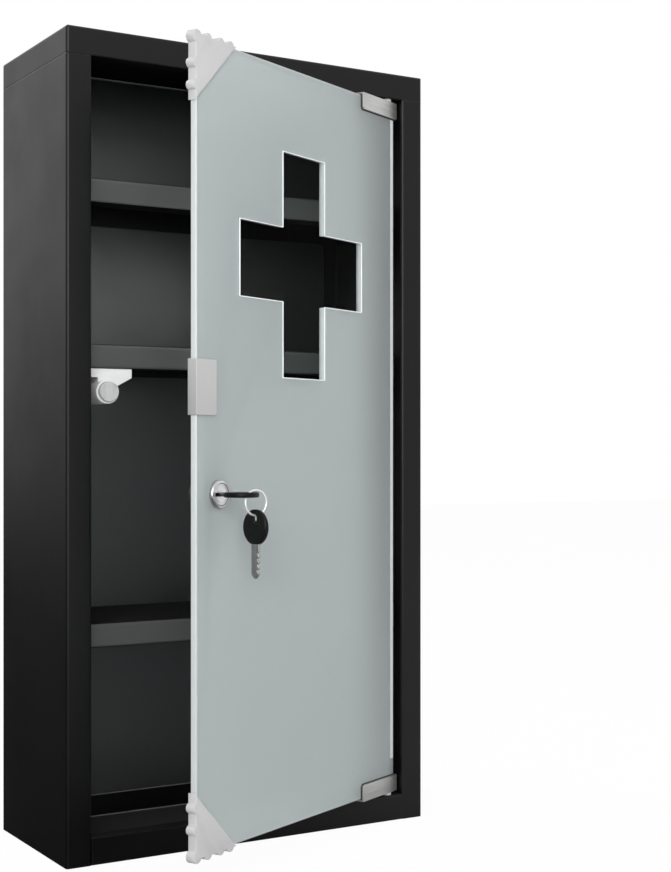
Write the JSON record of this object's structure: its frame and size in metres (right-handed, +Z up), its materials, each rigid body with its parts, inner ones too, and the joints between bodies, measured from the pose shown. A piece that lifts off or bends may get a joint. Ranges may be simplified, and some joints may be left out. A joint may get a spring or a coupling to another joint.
{
  "type": "lockable medicine cabinet",
  "caption": "Upright wall or table cabinet in black sheet steel with shelves, a frosted glass door with a cross window, pivot hinges, push catch, cam lock and keys.",
  "frame": {"origin": "centre of the cabinet's underside", "axes": "+X to the right seen from the front, the door faces -Y, +Z up, the back is at +Y"},
  "size_m": [0.3, 0.2705, 0.6],
  "materials": {
    "black_steel": "satin black powder coat with a fine grain",
    "nylon": "moulded nylon",
    "white_plastic": "moulded white plastic",
    "guard_plastic": "soft white plastic",
    "zinc_steel": "zinc plated",
    "magnet": "sintered magnet",
    "spring_steel": "drawn wire",
    "frosted_glass": "toughened glass, frosted on the outer face",
    "clear_glass": "clear pane",
    "stainless": "stainless sheet brushed along its length",
    "soft_liner": "thin soft sheet",
    "strike_steel": "satin nickel plated sheet",
    "satin_chrome": "satin chrome plated",
    "brass": "stamped",
    "cam_steel": "black oxide",
    "key_steel": "nickel plated blade",
    "key_plastic": "moulded black plastic",
    "ring_steel": "bright plated wire"
  },
  "bodies": {
    "cabinet": {"side_panel_left": "black_steel", "side_panel_right": "black_steel", "top_cap": "black_steel", "bottom_pan": "black_steel", "back_panel": "black_steel", "shelf_top": "black_steel", "shelf_middle": "black_steel", "shelf_bottom": "black_steel", "hinge_bush_top": "nylon", "hinge_bush_bottom": "nylon", "catch_housing": "white_plastic", "catch_screws": "zinc_steel", "catch_spring": "spring_steel"},
    "catch_slider": {"catch_plunger": "white_plastic", "catch_magnet": "magnet"},
    "door": {"door_glass": "frosted_glass", "cross_window": "clear_glass", "hinge_clamp_top": "stainless", "hinge_clamp_bottom": "stainless", "clamp_liner_top": "soft_liner", "clamp_liner_bottom": "soft_liner", "clamp_screws_top": "zinc_steel", "clamp_screws_bottom": "zinc_steel", "hinge_pin_top": "zinc_steel", "hinge_pin_bottom": "zinc_steel", "corner_guard_top": "guard_plastic", "corner_guard_bottom": "guard_plastic", "strike_clip": "strike_steel", "strike_pad": "soft_liner", "lock_housing": "satin_chrome", "lock_gasket": "soft_liner", "lock_washer": "zinc_steel", "lock_nut": "satin_chrome"},
    "lock_core": {"lock_plug": "satin_chrome", "lock_wafers": "brass", "lock_cam": "cam_steel", "cam_screw": "zinc_steel"},
    "key": {"key_blade": "key_steel", "key_head": "key_plastic"},
    "ring": {"key_ring": "ring_steel"},
    "spare_key": {"spare_key_blade": "key_steel", "spare_key_head": "key_plastic"}
  },
  "joints": [
    {"name": "door_swing", "type": "hinge", "parent": "cabinet", "child": "door", "pos_m": [0.1205, -0.064, 0.3], "axis": [0, 0, 1], "range_deg": [-26.7, 93.3]},
    {"name": "lock_turn", "type": "hinge", "parent": "door", "child": "lock_core", "pos_m": [-0.07872, -0.1642, 0.2673], "axis": [0.4493, -0.8934, 0], "range_deg": [-90, 0]},
    {"name": "key_pull", "type": "slide", "parent": "lock_core", "child": "key", "axis": [0.4493, -0.8934, 0], "range_m": [0, 0.03]},
    {"name": "ring_swing", "type": "hinge", "parent": "key", "child": "ring", "pos_m": [-0.06031, -0.18846, 0.27049], "axis": [0.9895, 0.1444, 0], "range_deg": [-10, 10]},
    {"name": "spare_key_swing", "type": "hinge", "parent": "ring", "child": "spare_key", "pos_m": [-0.06031, -0.18846, 0.25339], "axis": [0.9895, 0.1444, 0], "range_deg": [-25, 25]},
    {"name": "catch_push", "type": "slide", "parent": "cabinet", "child": "catch_slider", "axis": [0, 1, 0], "range_m": [0, 0.004], "stiffness_N_per_m": 600, "springref_m": -0.005, "deforming": ["catch_spring"]}
  ]
}
